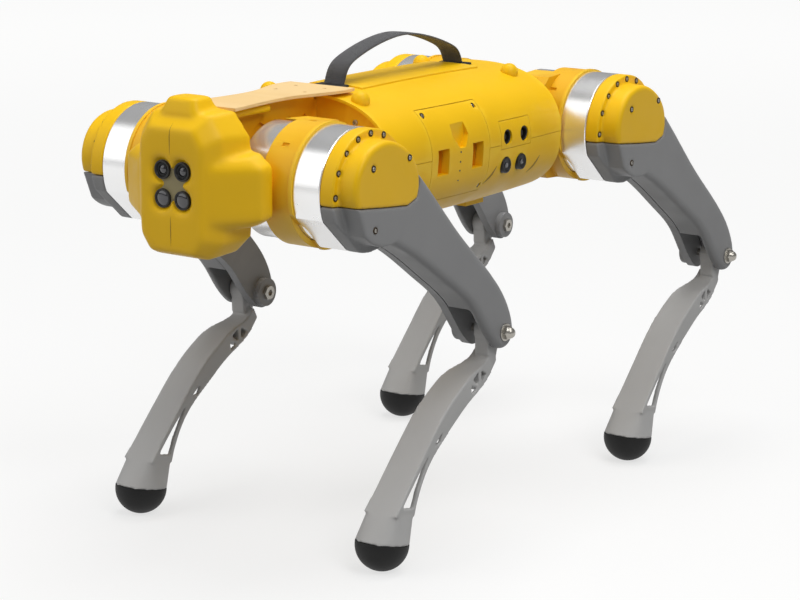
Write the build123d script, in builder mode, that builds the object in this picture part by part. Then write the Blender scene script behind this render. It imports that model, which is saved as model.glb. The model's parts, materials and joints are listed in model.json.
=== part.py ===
from build123d import *
import math
import os

os.makedirs("parts", exist_ok=True)

# Quadruped robot dog. +X forward, +Y to the robot's left, +Z up, origin on the floor
# under the middle of the bounding box. All sizes in millimetres.

# leg layout
front_hip_x = 281.0
rear_hip_x = -184.0
hip_z = 373.0
abduction_y = 47.0
leg_mid_y = 154.0
link_length = 250.0
thigh_angle = 221.86
calf_angle = -45.95
foot_r = 26.5
running_gap = 0.4

# hip module, distances from the robot's middle plane
knee_can_in, knee_can_out, knee_can_r = 36.0, 66.0, 56.0
ring_in, ring_out, ring_r = 98.0, 102.0, 61.0
thigh_can_out, thigh_can_r = 133.0, 58.5
band_r = 60.0
facet_angle, facet_depth = -48.5, 52.8
bracket_reach = 82.0
crank_shaft_r = 8.0

# thigh and calf widths
flange_out = 149.0
thigh_in = thigh_can_out + running_gap
thigh_out = 170.0
knee_out = 179.0
boss_r = 50.0
arm_edge_r, cover_edge_r = 7.0, 5.0
slot_in, slot_out = 141.0, 167.0
calf_neck, calf_width, calf_hollow = 24.0, 38.0, 27.0
calf_end_front, calf_end_rear = (231, 24), (213, -4)
collar_start, collar_depth = (220.6, 10.2), 33.5
side_windows = [[(150, 16.5), (186, 18.6), (218, 18.8), (208, 3), (192, 9), (172, 13)],
                [(124, 12), (146, 15), (136, 8)],
                [(40, -20), (53, -15), (43, -8)],
                [(57, -12), (47, -4), (60, 1)],
                [(62, -10), (72, -7), (66, 1)]]
foot_axis_angle, foot_seam = -80.0, 2.0
slot_start = 196.0
inner_plate_in, inner_boss_in = 131.0, 124.0
hip_clear_r = 60.5
pivot_r, pin_r = 4.0, 3.0
lever = 14.0
rod_in, rod_out = 142.0, 148.0
screw_r = 2.8
flange_screw_r = 54.2
face_screws = ((24, 26), (-33, 29), (21, -32))
flange_screw_angles = (1, 25, 47, 69, 90, 112)

# trunk barrel
trunk_front, trunk_rear = 188.0, -122.0
trunk_half_w, trunk_half_h = 109.0, 72.0
trunk_power = 2.4
shell_wall = 3.0
parting_z = 375.0
seam = 0.5
rim_scale = 0.965
section_points = 24
panel_x0, panel_x1, panel_z0, panel_z1 = 21.0, 122.0, 331.0, 423.0
dome_xs, dome_y, dome_z, dome_r = (173.0, -93.0), 57.0, 437.0, 9.5
deck_mid, deck_length, deck_width = 35.0, 206.0, 66.0
button_xs, button_z, button_r = (-12.0, -41.0), 353.0, 8.5
socket_xs, socket_z, socket_r = (-14.0, -46.0), 382.0, 8.0
bulkhead_front, bulkhead_rear, bulkhead_t = 181.0, -98.0, 4.0
motor_r, motor_length = 33.0, 42.0

# head
lens_z, lens_dy, lens_dz = 378.0, 12.0, 13.5
head_front = 393.0
lobe_r, lens_r, lens_recess = 12.0, 9.0, 7.0
head_rear, head_top, cap_x, cap_rise = 344.0, 444.0, 364.0, 15.0
roof_rear, roof_half, roof_z = 270.0, 24.0, 434.0
plate_z, plate_t = 443.6, 3.0
plate_x0, plate_x1, plate_hole_r = 160.0, 338.0, 2.2
# x, half width, top, bottom, half width of top and chin, upper and lower corner of the cheek
head_column = ((head_rear, 58, 447, 312, 40, 424, 328), (376, 48, 445, 308, 34, 424, 326),
               (head_front, 37, 431, 314, 26, 416, 330))
head_cheeks = ((head_rear, 85, 410, 342, 70, 398, 350), (360, 82, 407, 340, 68, 397, 348),
               (387, 44, 402, 338, 36, 396, 346))
spine_half, spine_end, rib_depth = 12.0, 343.8, 3.0
tab_x0, tab_x1, tab_z1 = -58.0, -1.0, 399.0
panel_depth = 9.0
panel_screws = ((27, 418), (116, 418), (27, 337), (116, 337))
bulkhead_screws = ((60, 44), (-60, 44), (84, 12), (-84, 12), (60, -44), (-60, -44))
output_r = 24.0
pad_xs, pad_z = (-85.0, 150.0), 291.0
window_xs, window_z, window_w, window_h = (42.0, 102.0), 371.0, 19.0, 26.0
pocket_x, pocket_z = 70.0, 402.0
deck_proud = 1.5
strap_w, strap_t = 25.0, 2.2
strap_x0, strap_x1, strap_mid, strap_z0, strap_top = -76.0, 146.0, 38.0, 441.0, 488.0

SIDES = {"left": 1, "right": -1}
ENDS = {"front": (front_hip_x, -1), "rear": (rear_hip_x, 1)}


def save(builder, name):
    """Label a finished piece and write its STEP file."""
    builder.part.label = name
    export_step(builder.part, f"parts/{name}.step")


def polar(radius, angle):
    """Point at a radius and an angle in degrees."""
    return (radius * math.cos(math.radians(angle)), radius * math.sin(math.radians(angle)))


knee_dx, knee_dz = polar(link_length, thigh_angle)
foot_dx, foot_dz = polar(link_length, calf_angle)


def side_plane(x, y, z, angle=0.0):
    """Upright plane that faces -Y, its x axis turned by an angle from +X towards +Z."""
    cx, cz = polar(1, angle)
    return Plane(origin=(x, y, z), x_dir=(cx, 0, cz), z_dir=(0, -1, 0))


def front_plane(x, y, z, angle):
    """Plane along a link, seen from in front: x runs along the link, y is the row's own +Y."""
    along, ahead = polar(1, angle), polar(1, angle + 90)
    return Plane(origin=(x, y, z), x_dir=(along[0], 0, along[1]), z_dir=(ahead[0], 0, ahead[1]))


class Leg:
    """Places sketches of one leg: distances outward are measured from the middle plane."""

    def __init__(self, end, side):
        self.name = f"{end}_{side}"
        self.s = SIDES[side]
        self.hip_x, self.b = ENDS[end]
        self.knee = (self.hip_x + knee_dx, hip_z + knee_dz)
        self.foot = (self.knee[0] + foot_dx, self.knee[1] + foot_dz)

    def hip_plane(self, out, angle=0.0):
        return side_plane(self.hip_x, self.s * out, hip_z, angle)

    def thigh_plane(self, out):
        return self.hip_plane(out, thigh_angle)

    def thigh_front(self):
        return front_plane(self.hip_x, 0, hip_z, thigh_angle)

    def calf_front(self):
        return front_plane(self.knee[0], self.s * leg_mid_y, self.knee[1], calf_angle)

    def calf_plane(self, out):
        return side_plane(self.knee[0], self.s * out, self.knee[1], calf_angle)

    def push(self, length):
        """Signed extrusion that goes outward by a length."""
        return -self.s * length


def facet_mask(radius):
    """Square that covers what lies beyond the flat facet of a round hip part."""
    cx, cz = polar(facet_depth + radius, facet_angle)
    with Locations(Location((cx, cz, 0), facet_angle)):
        Rectangle(2 * radius, 3 * radius, mode=Mode.SUBTRACT)


def hip_bracket(leg):
    """Cast link from the abduction motor to the ring that carries the thigh motor."""
    b = leg.b
    with BuildPart() as bracket:
        with BuildSketch(leg.hip_plane(knee_can_in + 4)):
            with BuildLine():
                Polyline((b * 12, 57), (b * 44, 55), (b * 68, 34), (b * 68, -34),
                         (b * 44, -55), (b * 12, -57), close=True)
            make_face()
        extrude(amount=leg.push(38))
        with BuildSketch(leg.hip_plane(abduction_y - output_r + 1)):
            with Locations((b * (bracket_reach + 30) / 2, 0)):
                Rectangle(bracket_reach - 30, 56)
        extrude(amount=leg.push(2 * output_r + 4))
        with BuildSketch(leg.hip_plane(knee_can_out)):
            Circle(band_r)
        extrude(amount=leg.push(ring_in - knee_can_out))
        with BuildSketch(leg.hip_plane(ring_in)):
            Circle(ring_r)
            facet_mask(ring_r)
        extrude(amount=leg.push(ring_out - ring_in))
        with BuildSketch(leg.hip_plane(19)):
            Circle(knee_can_r + 1.5)
        extrude(amount=leg.push(knee_can_out - 19), mode=Mode.SUBTRACT)
        with BuildSketch(leg.hip_plane(knee_can_out + 6)):
            Circle(54.5)
        extrude(amount=leg.push(40), mode=Mode.SUBTRACT)
        with BuildSketch(leg.hip_plane(knee_can_out - 1)):
            Circle(24)
        extrude(amount=leg.push(10), mode=Mode.SUBTRACT)
        with BuildSketch(leg.hip_plane(ring_in - 20)):
            with PolarLocations(band_r, 2, start_angle=45, angular_range=90):
                Circle(2.2)
        extrude(amount=leg.push(8), mode=Mode.SUBTRACT)
    save(bracket, f"{leg.name}_hip_bracket")


def hip_motors(leg):
    """Knee motor inside the bracket and thigh motor behind the thigh, both with a hollow shaft."""
    with BuildPart() as motors:
        with BuildSketch(leg.hip_plane(knee_can_in)):
            Circle(knee_can_r)
        extrude(amount=leg.push(knee_can_out - knee_can_in))
        with BuildSketch(leg.hip_plane(knee_can_out + 6)):
            Circle(54)
        extrude(amount=leg.push(ring_out - knee_can_out - 6))
        with BuildSketch(leg.hip_plane(ring_out)):
            Circle(thigh_can_r)
            facet_mask(thigh_can_r)
        extrude(amount=leg.push(thigh_can_out - ring_out))
        chamfer(motors.edges().filter_by(GeomType.CIRCLE).sort_by(SortBy.RADIUS)[-2:], 0.8)
        with BuildSketch(leg.hip_plane(knee_can_in + 8)):
            Circle(crank_shaft_r + 1)
        extrude(amount=leg.push(120), mode=Mode.SUBTRACT)
    save(motors, f"{leg.name}_hip_motors")


def cover_outline():
    """Raised boss of the thigh root: outline of its outer face, about the hip axis."""
    with BuildSketch() as outline:
        with BuildLine():
            top = Spline((50, -2), (48, 21), (37, 37), (19, 47), (-2, 49), (-24, 42), (-43, 27), (-51, 6))
            below = ThreePointArc(top @ 1, polar(boss_r, 245), polar(boss_r + 1, 315))
            Line(below @ 1, top @ 0)
        make_face()
    return outline.sketch


def split_area(above, shift=0.0):
    """Area on the yellow cover's side of its parting line, or the rest of the leg's side view."""
    line = [(90, -6), (48, -8), (3, -13), (-31, -16), (-46, -11), (-51.5, 4), (-52, 90)]
    corners = [(90, 90)] if above else [(-90, 90), (-90, -300), (90, -300)]
    points = [(x - shift * (x < -40), z - shift) for x, z in line] + corners
    with BuildSketch() as area:
        with BuildLine():
            Polyline(*points, close=True)
        make_face()
    return area.sketch


def thigh_arm_outline():
    """Arm of the thigh in the thigh's own plane, from the hip to past the knee."""
    with BuildSketch() as outline:
        with BuildLine():
            upper = Spline((20, -44), (62, -41.5), (127, -36), (200, -34), (231, -29), (262, -13))
            tip = ThreePointArc(upper @ 1, (268, 2), (256, 16))
            lower = Spline(tip @ 1, (226, 15), (191, 9), (139, 13), (82, 21), (33, 34), (-4, 52))
            Line(lower @ 1, upper @ 0)
        make_face()
    return outline.sketch


def thigh_cover(leg):
    """Yellow cap over the thigh's root."""
    with BuildPart() as cover:
        with BuildSketch(leg.hip_plane(thigh_in)):
            Circle(58.5)
            add(split_area(above=False), mode=Mode.SUBTRACT)
        extrude(amount=leg.push(flange_out - thigh_in))
        with BuildSketch(leg.hip_plane(flange_out)):
            add(cover_outline())
            add(split_area(above=False), mode=Mode.SUBTRACT)
        extrude(amount=leg.push(thigh_out - flange_out))
        outer = cover.faces().filter_by(Axis.Y).sort_by(Axis.Y)[-1 if leg.s > 0 else 0]
        fillet(outer.edges().sort_by(SortBy.LENGTH)[-1], cover_edge_r)
        with BuildSketch(leg.thigh_plane(thigh_in)):
            add(rod_channel())
        extrude(amount=leg.push(rod_out + 1 - thigh_in), mode=Mode.SUBTRACT)
        with BuildSketch(leg.hip_plane(flange_out - 8)):
            for angle in flange_screw_angles:
                with Locations(polar(flange_screw_r, angle)):
                    Circle(screw_r)
        extrude(amount=leg.push(9), mode=Mode.SUBTRACT)
        with BuildSketch(leg.hip_plane(thigh_out - 8)):
            with Locations(*face_screws[:2]):
                Circle(screw_r)
        extrude(amount=leg.push(8), mode=Mode.SUBTRACT)
    save(cover, f"{leg.name}_thigh_cover")


def rod_channel():
    """Outline of the pocket that the knee rod and its crank move in."""
    with BuildSketch() as pocket:
        Circle(24)
        with BuildLine():
            Polyline((0, -22), (0, 2), (slot_start + 14, 2), (slot_start + 14, -22), close=True)
        make_face()
    return pocket.sketch


def lies_once(edge, edges):
    """Whether an edge borders one face only of those the edges came from."""
    return sum((edge.center() - other.center()).length < 0.01 for other in edges) == 1


def thigh_arm(leg):
    """Arm of the thigh: slopes outward to the knee, with a rounded outer rim."""
    with BuildPart() as arm:
        with BuildSketch(leg.thigh_plane(slot_in)):
            add(thigh_arm_outline())
        extrude(amount=leg.push(knee_out + 2 - slot_in))
        with BuildSketch(leg.thigh_front()):
            with BuildLine():
                Polyline((-80, leg.s * thigh_out), (40, leg.s * thigh_out), (link_length, leg.s * knee_out),
                         (300, leg.s * knee_out), (300, leg.s * 200), (-80, leg.s * 200), close=True)
            make_face()
        extrude(amount=100, both=True, mode=Mode.SUBTRACT)
        outer = [face for face in arm.faces() if leg.s * face.normal_at().Y > 0.9]
        edges = [edge for face in outer for edge in face.edges()]
        rim = [edge for edge in edges if lies_once(edge, edges)]
        fillet(rim, arm_edge_r)
    return arm.part


def thigh_shell(leg):
    """Grey outer half of the thigh, from the hip flange to the outer cheek of the knee fork."""
    arm = thigh_arm(leg)
    with BuildPart() as shell:
        with BuildSketch(leg.hip_plane(thigh_in)):
            Circle(thigh_can_r)
            facet_mask(thigh_can_r)
        extrude(amount=leg.push(flange_out - thigh_in))
        with BuildSketch(leg.hip_plane(flange_out)):
            add(cover_outline())
        extrude(amount=leg.push(thigh_out - flange_out))
        add(arm)
        with BuildSketch(leg.hip_plane(thigh_in - 1)):
            add(split_area(above=True, shift=seam))
        extrude(amount=leg.push(60), mode=Mode.SUBTRACT)
        with BuildSketch(leg.thigh_plane(slot_in - 1)):
            with BuildLine():
                Polyline((slot_start, -21), (slot_start, 60), (320, 60), (320, -60), (236, -60), (236, -21),
                         close=True)
            make_face()
        extrude(amount=leg.push(slot_out - slot_in + 1), mode=Mode.SUBTRACT)
        with BuildSketch(leg.thigh_plane(thigh_in - 1)):
            add(rod_channel())
        extrude(amount=leg.push(rod_out + 2 - thigh_in), mode=Mode.SUBTRACT)
        with BuildSketch(leg.thigh_plane(slot_in)):
            with Locations((link_length, 0)):
                Circle(pivot_r)
        extrude(amount=leg.push(60), mode=Mode.SUBTRACT)
        with BuildSketch(leg.hip_plane(thigh_out - 8)):
            with Locations(face_screws[2]):
                Circle(screw_r)
        extrude(amount=leg.push(8), mode=Mode.SUBTRACT)
    save(shell, f"{leg.name}_thigh_shell")


def thigh_inner(leg):
    """Grey inner cover of the thigh with the fork's inner cheek."""
    with BuildPart() as plate:
        with BuildSketch(leg.thigh_plane(inner_plate_in)):
            add(thigh_arm_outline())
            Circle(hip_clear_r, mode=Mode.SUBTRACT)
        extrude(amount=leg.push(slot_in - inner_plate_in))
        with BuildSketch(leg.thigh_plane(inner_boss_in)):
            with Locations((link_length, 0)):
                Circle(15)
        extrude(amount=leg.push(inner_plate_in - inner_boss_in))
        with BuildSketch(leg.thigh_plane(inner_boss_in)):
            with Locations((link_length, 0)):
                Circle(pivot_r)
        extrude(amount=leg.push(60), mode=Mode.SUBTRACT)
    save(plate, f"{leg.name}_thigh_inner")


def thigh_fasteners(leg):
    """Cover screws on the flange and the outer face, and the knee bolt with its dome nut."""
    with BuildPart() as fasteners:
        with BuildSketch(leg.hip_plane(flange_out - 8)):
            for angle in flange_screw_angles:
                with Locations(polar(flange_screw_r, angle)):
                    Circle(screw_r - 0.2)
        extrude(amount=leg.push(8.6))
        with BuildSketch(leg.hip_plane(thigh_out - 8)):
            with Locations(*face_screws):
                Circle(screw_r)
        extrude(amount=leg.push(8.4))
        with BuildSketch(leg.thigh_plane(inner_boss_in - 4)):
            with Locations((link_length, 0)):
                RegularPolygon(8, 6)
        extrude(amount=leg.push(4))
        with BuildSketch(leg.thigh_plane(inner_boss_in)):
            with Locations((link_length, 0)):
                Circle(pivot_r)
        extrude(amount=leg.push(knee_out - inner_boss_in))
        with BuildSketch(leg.thigh_plane(knee_out)):
            with Locations((link_length, 0)):
                RegularPolygon(7.5, 6)
        extrude(amount=leg.push(5))
        with Locations((leg.knee[0], leg.s * (knee_out + 5), leg.knee[1])):
            Sphere(6)
    save(fasteners, f"{leg.name}_thigh_fasteners")


def knee_crank(leg):
    """Crank that the knee motor turns through the hollow shafts, at the thigh's root."""
    with BuildPart() as crank:
        with BuildSketch(leg.hip_plane(knee_can_in + 12)):
            Circle(crank_shaft_r)
        extrude(amount=leg.push(rod_out - 7.5 - knee_can_in - 12))
        with BuildSketch(leg.thigh_plane(rod_out - 14)):
            Circle(13)
            with Locations((0, -lever)):
                Circle(7)
        extrude(amount=leg.push(6.5))
        with BuildSketch(leg.thigh_plane(rod_out - 7.5)):
            with Locations((0, -lever)):
                Circle(pin_r)
        extrude(amount=leg.push(7.5))
    save(crank, f"{leg.name}_knee_crank")


def knee_rod(leg):
    """Push rod from the crank to the calf's lever."""
    with BuildPart() as rod:
        with BuildSketch(leg.thigh_plane(rod_in)):
            with Locations((0, -lever), (link_length, -lever)):
                Circle(5.5)
            with Locations((link_length / 2, -lever)):
                Rectangle(link_length, 6)
            with Locations((0, -lever), (link_length, -lever)):
                Circle(pin_r + 0.3, mode=Mode.SUBTRACT)
        extrude(amount=leg.push(rod_out - rod_in))
    save(rod, f"{leg.name}_knee_rod")


def calf_profile():
    """Side outline of the lower leg, in the calf's own plane: x runs down, y faces forward."""
    with BuildSketch() as outline:
        with BuildLine():
            front = Spline((14, -14), (30, -11), (55, 5), (80, 15), (105, 21), (155, 24), (200, 24),
                           calf_end_front)
            Line(front @ 1, calf_end_rear)
            rear = Spline(calf_end_rear, (193, 4), (166, 9), (114, 1), (74, -10), (38, -25), (18, -26))
            Line(rear @ 1, front @ 0)
        make_face()
    return outline.sketch


def calf_width_outline():
    """Front outline of the lower leg, from the narrow neck at the knee to the collar."""
    with BuildSketch() as outline:
        with BuildLine():
            near = Spline((0, 12), (30, 12), (60, 16), (105, 17.5), (160, 18), (245, 20))
            Line(near @ 1, (245, -20))
            far = Spline((245, -20), (160, -18), (105, -17.5), (60, -16), (30, -12), (0, -12))
            Line(far @ 1, near @ 0)
        make_face()
    return outline.sketch


def seam_plane(leg):
    """Plane between the calf's collar and the rubber foot, facing up."""
    ax, az = polar(1, foot_axis_angle)
    origin = (leg.foot[0] - ax * foot_seam, leg.s * leg_mid_y, leg.foot[1] - az * foot_seam)
    return Plane(origin=origin, x_dir=(0, 1, 0), z_dir=(-ax, 0, -az))


def calf(leg):
    """Lower leg: front plate, two braced side walls, open back, and a round collar over the foot."""
    down, ahead = polar(1, calf_angle), polar(1, calf_angle + 90)
    top_x = leg.knee[0] + collar_start[0] * down[0] + collar_start[1] * ahead[0]
    top_z = leg.knee[1] + collar_start[0] * down[1] + collar_start[1] * ahead[1]
    ax, az = polar(1, foot_axis_angle)
    collar_top = Plane(origin=(top_x, leg.s * leg_mid_y, top_z), x_dir=(0, 1, 0), z_dir=(-ax, 0, -az))
    half, neck = calf_width / 2, calf_neck / 2
    with BuildPart() as shank:
        with BuildSketch(leg.calf_plane(leg_mid_y - half - 4)):
            add(calf_profile())
        extrude(amount=leg.push(calf_width + 8))
        with BuildSketch(leg.calf_front()):
            add(calf_width_outline())
        extrude(amount=60, both=True, mode=Mode.INTERSECT)
        with BuildSketch(leg.calf_plane(leg_mid_y - calf_hollow / 2)):
            with BuildLine():
                front = Spline((62, 3), (80, 10), (105, 16), (155, 19), (222, 19.5))
                Polyline(front @ 1, (207, -3), (207, -40), (62, -40), front @ 0)
            make_face()
        extrude(amount=leg.push(calf_hollow), mode=Mode.SUBTRACT)
        with BuildSketch(leg.calf_plane(leg_mid_y - half - 3)):
            for corners in side_windows:
                with BuildLine():
                    Polyline(*corners, close=True)
                make_face()
        extrude(amount=leg.push(calf_width + 6), mode=Mode.SUBTRACT)
        with BuildSketch(leg.calf_plane(rod_out + 1)):
            Circle(13)
            with BuildLine():
                Polyline((-3, -13), (24, -26), (24, -10), (3, 13), close=True)
            make_face()
            with Locations((-lever, 0.5)):
                Circle(6)
            with BuildLine():
                Polyline((-lever, 6), (0, 12), (0, -11), (-lever, -5.5), close=True)
            make_face()
        extrude(amount=leg.push(leg_mid_y + neck - rod_out - 1))
        with BuildSketch(leg.calf_plane(rod_in)):
            with Locations((-lever, 0.5)):
                Circle(pin_r)
        extrude(amount=leg.push(rod_out + 1 - rod_in))
        with BuildSketch(leg.calf_plane(rod_in)):
            Circle(pivot_r + 0.05)
        extrude(amount=leg.push(30), mode=Mode.SUBTRACT)
        with BuildSketch(seam_plane(leg)):
            Circle(foot_r - 0.1)
        with BuildSketch(collar_top):
            RectangleRounded(calf_width + 0.6, collar_depth, 8)
        loft()
    save(shank, f"{leg.name}_calf")


def foot(leg):
    """Rubber ball foot under the calf's collar."""
    with BuildPart() as ball:
        with Locations((leg.foot[0], leg.s * leg_mid_y, leg.foot[1])):
            Sphere(foot_r)
        split(bisect_by=seam_plane(leg), keep=Keep.BOTTOM)
    save(ball, f"{leg.name}_foot")


def barrel_section(x, inset=0.0, grow=1.0):
    """Rounded-square section of the trunk at a place along its length, shrunk by a wall."""
    a = trunk_half_w * grow - inset
    b = trunk_half_h * grow - inset
    points = []
    for i in range(section_points):
        c, d = polar(1, 360 * i / section_points)
        p = 2 / trunk_power
        points.append((math.copysign(abs(c) ** p, c) * a, math.copysign(abs(d) ** p, d) * b))
    with BuildSketch(Plane(origin=(x, 0, hip_z), x_dir=(0, 1, 0), z_dir=(1, 0, 0))) as section:
        with BuildLine():
            Spline(*points, periodic=True)
        make_face()
    return section.sketch


def barrel(x0, x1, inset=0.0):
    """Solid barrel between two stations, a little fatter in the middle."""
    rear, front = (barrel_section(x, inset, rim_scale) for x in (x0, x1))
    sections = [rear, barrel_section((x0 + x1) / 2, inset), front]
    with BuildPart() as solid:
        loft(sections)
    return solid.part


def trunk_skin():
    """Closed skin of the barrel, one wall thick."""
    return barrel(trunk_rear, trunk_front) - barrel(trunk_rear, trunk_front, shell_wall)


def box_between(x0, x1, y0, y1, z0, z1):
    """Box from its two corners, as a loose tool."""
    block = Box(x1 - x0, y1 - y0, z1 - z0, mode=Mode.PRIVATE)
    return Pos((x0 + x1) / 2, (y0 + y1) / 2, (z0 + z1) / 2) * block


def panel_box(side, grow=0.0):
    """Box around one flank's removable panel."""
    y0, y1 = sorted((side * 70, side * 130))
    return box_between(panel_x0 - grow, panel_x1 + grow, y0, y1, panel_z0 - grow, panel_z1 + grow)


def trunk_shells():
    """Upper and lower skins of the trunk."""
    x0, x1 = trunk_rear - 10, trunk_front + 10
    tab = box_between(tab_x0 - seam, tab_x1 + seam, 70, 130, parting_z - 5, tab_z1 + seam)
    with BuildPart() as upper:
        add(trunk_skin())
        add(box_between(x0, x1, -150, 150, 200, parting_z + seam / 2), mode=Mode.SUBTRACT)
        for side in (1, -1):
            add(panel_box(side, seam), mode=Mode.SUBTRACT)
        add(tab, mode=Mode.SUBTRACT)
        with Locations(*[(x, y, dome_z) for x in dome_xs for y in (-dome_y, dome_y)]):
            Sphere(dome_r)
        add(barrel(trunk_rear, trunk_front, shell_wall + 0.2), mode=Mode.SUBTRACT)
        with Locations((deck_mid, 0, hip_z + trunk_half_h)):
            Box(deck_length + 1, deck_width + 1, 24, mode=Mode.SUBTRACT)
        with Locations((strap_x0, 0, hip_z + trunk_half_h), (strap_x1, 0, hip_z + trunk_half_h)):
            Box(8, strap_w + 2, 24, mode=Mode.SUBTRACT)
    save(upper, "trunk_shell_upper")
    with BuildPart() as lower:
        add(trunk_skin())
        add(box_between(x0, x1, -150, 150, parting_z - seam / 2, 600), mode=Mode.SUBTRACT)
        for side in (1, -1):
            add(panel_box(side, seam), mode=Mode.SUBTRACT)
        add(tab, mode=Mode.SUBTRACT)
        with Locations(*[(x, 107, button_z) for x in button_xs]):
            Cylinder(button_r + 0.4, 20, rotation=(90, 0, 0), mode=Mode.SUBTRACT)
    save(lower, "trunk_shell_lower")


def connector_panel():
    """Tab of the left flank with two deep round sockets."""
    with BuildPart() as panel:
        add(trunk_skin())
        add(box_between(tab_x0, tab_x1, 70, 130, parting_z - 5 + seam, tab_z1), mode=Mode.INTERSECT)
        with Locations(*[(x, 98, socket_z) for x in socket_xs]):
            Cylinder(socket_r + 2, 16, rotation=(90, 0, 0))
        with Locations(*[(x, 104, socket_z) for x in socket_xs]):
            Cylinder(socket_r, 20, rotation=(90, 0, 0), mode=Mode.SUBTRACT)
    save(panel, "connector_panel")


def flank_reach(z):
    """Distance of the flank from the middle plane at a height."""
    rise = abs((z - hip_z) / trunk_half_h)
    return trunk_half_w * (1 - rise ** trunk_power) ** (1 / trunk_power)


def side_panels():
    """Removable panel in each flank, with a finger pocket and two windows."""
    backed = barrel(trunk_rear, trunk_front) - barrel(trunk_rear, trunk_front, panel_depth)
    with BuildPart() as panels:
        for side in (1, -1):
            add(backed & panel_box(side))
            for x in window_xs:
                with BuildSketch(side_plane(x, side * 80, window_z)):
                    Rectangle(window_w, window_h)
                extrude(amount=-side * 40, mode=Mode.SUBTRACT)
            with BuildSketch(side_plane(pocket_x, side * 101, pocket_z)):
                with BuildLine():
                    Polyline((12, 16), (-8, 14), (-13, -8), (-6, -20), (4, -20), (14, -8), close=True)
                make_face()
            extrude(amount=-side * 20, mode=Mode.SUBTRACT)
            with Locations(*[(x, side * 100, z) for x, z in panel_screws]):
                Cylinder(screw_r, 40, rotation=(90, 0, 0), mode=Mode.SUBTRACT)
    save(panels, "side_panels")
    with BuildPart() as screws:
        for side in (1, -1):
            for x, z in panel_screws:
                with Locations((x, side * (flank_reach(z) - 5.5), z)):
                    Cylinder(screw_r - 0.1, 8, rotation=(90, 0, 0))
        with Locations(*[(bulkhead_front + bulkhead_t + 1.5, y, hip_z + dz) for y, dz in bulkhead_screws]):
            Cylinder(screw_r, 3, rotation=(0, 90, 0))
    save(screws, "trunk_screws")


def bulkhead(x):
    """Frame plate that closes the barrel and carries two abduction motors."""
    return extrude(barrel_section(x, shell_wall + 0.4, rim_scale), amount=bulkhead_t)


def front_frame():
    """Front bulkhead with the ribbed spine that carries the head."""
    with BuildPart() as frame:
        add(bulkhead(bulkhead_front))
        with BuildSketch(Plane(origin=(bulkhead_front, 0, hip_z), x_dir=(0, 1, 0), z_dir=(1, 0, 0))):
            with Locations((abduction_y, 0), (-abduction_y, 0)):
                Circle(output_r + 1)
        extrude(amount=bulkhead_t, mode=Mode.SUBTRACT)
        with BuildSketch(Plane.XZ.offset(-spine_half)):
            with BuildLine():
                start = bulkhead_front + bulkhead_t
                Polyline((start, 436), (trunk_front + 0.5, 436), (trunk_front + 0.5, plate_z),
                         (roof_rear - 1, plate_z), (roof_rear - 1, roof_z), (spine_end, roof_z),
                         (spine_end, 372), (start + 50, 346), (start, 346), close=True)
            make_face()
        extrude(amount=2 * spine_half)
        for face, depth in ((spine_half, -rib_depth), (-spine_half, rib_depth)):
            with BuildSketch(Plane.XZ.offset(face)):
                for row, z in enumerate((373, 393, 413)):
                    with Locations(*[(x + 11.5 * (row % 2), z) for x in range(205, 290, 23)]):
                        RegularPolygon(11, 6, rotation=30)
            extrude(amount=depth, mode=Mode.SUBTRACT)
    save(frame, "front_frame")


def rear_frame():
    """Rear bulkhead behind the last pair of motors."""
    with BuildPart() as frame:
        add(bulkhead(bulkhead_rear))
        with BuildSketch(Plane(origin=(bulkhead_rear, 0, hip_z), x_dir=(0, 1, 0), z_dir=(1, 0, 0))):
            with Locations((abduction_y, 0), (-abduction_y, 0)):
                Circle(output_r + 1)
        extrude(amount=bulkhead_t, mode=Mode.SUBTRACT)
    save(frame, "rear_frame")


def abduction_motors():
    """Four motors inside the barrel, each with its output flange through a bulkhead."""
    with BuildPart() as motors:
        for y in (abduction_y, -abduction_y):
            with Locations((bulkhead_front - motor_length / 2, y, hip_z)):
                Cylinder(motor_r, motor_length, rotation=(0, 90, 0))
            reach = front_hip_x - bracket_reach - running_gap - bulkhead_front
            with Locations((bulkhead_front + reach / 2, y, hip_z)):
                Cylinder(output_r, reach, rotation=(0, 90, 0))
            inner = bulkhead_rear + bulkhead_t
            with Locations((inner + motor_length / 2, y, hip_z)):
                Cylinder(motor_r, motor_length, rotation=(0, 90, 0))
            reach = inner - (rear_hip_x + bracket_reach + running_gap)
            with Locations((inner - reach / 2, y, hip_z)):
                Cylinder(output_r, reach, rotation=(0, 90, 0))
    save(motors, "abduction_motors")


def battery_pack():
    """Battery brick and the computer board over it."""
    with BuildPart() as battery:
        with Locations((40, 0, 372)):
            Box(150, 120, 56)
        fillet(battery.edges().filter_by(Axis.X), 6)
    save(battery, "battery_pack")
    with BuildPart() as board:
        with Locations((40, 0, 406)):
            Box(120, 84, 3)
        with Locations((20, 0, 410), (58, 20, 410)):
            Box(26, 26, 5)
    save(board, "main_board")


def deck_cover():
    """Raised hatch along the back, between the two feet of the carrying strap."""
    outer = barrel(trunk_rear, trunk_front, -deck_proud) - barrel(trunk_rear, trunk_front, shell_wall)
    with BuildPart() as deck:
        add(outer)
        with Locations((deck_mid, 0, hip_z + trunk_half_h)):
            Box(deck_length, deck_width, 30, mode=Mode.INTERSECT)
    save(deck, "deck_cover")


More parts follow.
